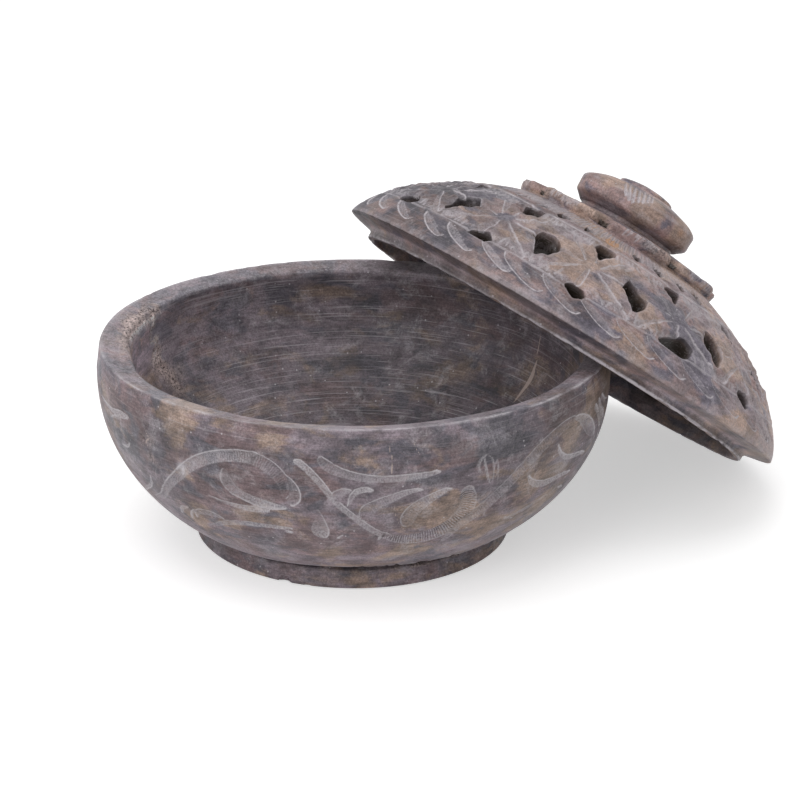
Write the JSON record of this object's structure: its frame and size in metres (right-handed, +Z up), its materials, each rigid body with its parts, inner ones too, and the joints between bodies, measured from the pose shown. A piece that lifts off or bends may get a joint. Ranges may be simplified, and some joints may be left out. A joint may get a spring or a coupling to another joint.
{
  "type": "incense holder",
  "caption": "Turned and carved soapstone incense bowl with a pierced, petal-collared lid leaning against its rim.",
  "frame": {"origin": "centre of the foot's flat underside, on the bowl's axis", "axes": "+Z up along the bowl's axis; +X to the right and -Y towards the camera in the picture"},
  "size_m": [0.1363, 0.1234, 0.0644],
  "materials": {
    "bowl_stone": "turned and carved soapstone, satin, mottled mauve grey with tan and pinkish brown",
    "lid_stone": "carved and pierced soapstone, dull, lilac grey turning pinkish brown towards the knob"
  },
  "bodies": {
    "bowl": {"bowl": "bowl_stone"},
    "lid": {"lid": "lid_stone"}
  },
  "joints": [
    {"name": "lid_lift", "type": "slide", "parent": "bowl", "child": "lid", "axis": [0.5157, 0.3074, 0.7997], "range_m": [0, 0.09]}
  ]
}
